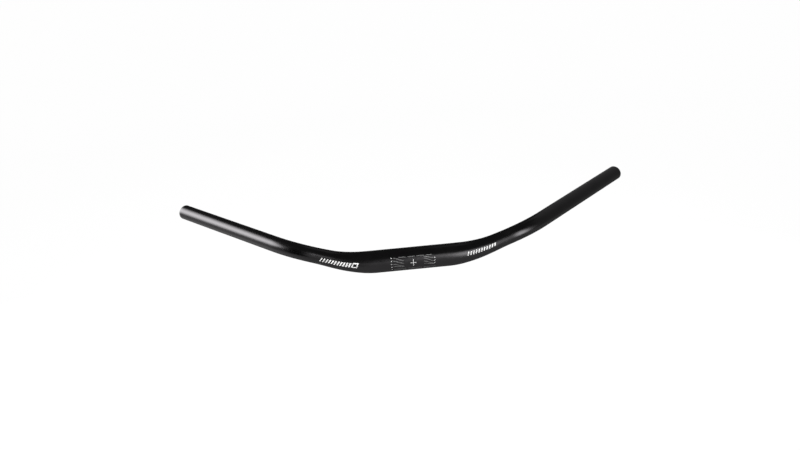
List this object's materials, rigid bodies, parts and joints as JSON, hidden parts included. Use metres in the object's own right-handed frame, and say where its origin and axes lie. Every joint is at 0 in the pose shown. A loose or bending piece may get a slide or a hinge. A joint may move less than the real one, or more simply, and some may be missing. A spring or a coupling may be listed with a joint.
{
  "type": "cruiser handlebar",
  "caption": "Hollow bent handlebar tube with a thick straight middle for a stem clamp, tapered rising arms and long swept-back grips with open ends.",
  "frame": {"origin": "centre of the straight middle, on the tube's axis", "axes": "+X along the middle of the tube, to the right of someone who looks at its front; -Y is the front, with the alignment marks; +Y is the way the grips sweep back; +Z is the way the arms rise"},
  "size_m": [0.699, 0.1535, 0.0847],
  "materials": {
    "black_anodised": "satin black anodised"
  },
  "bodies": {
    "root": {"handlebar": "black_anodised"}
  },
  "joints": []
}
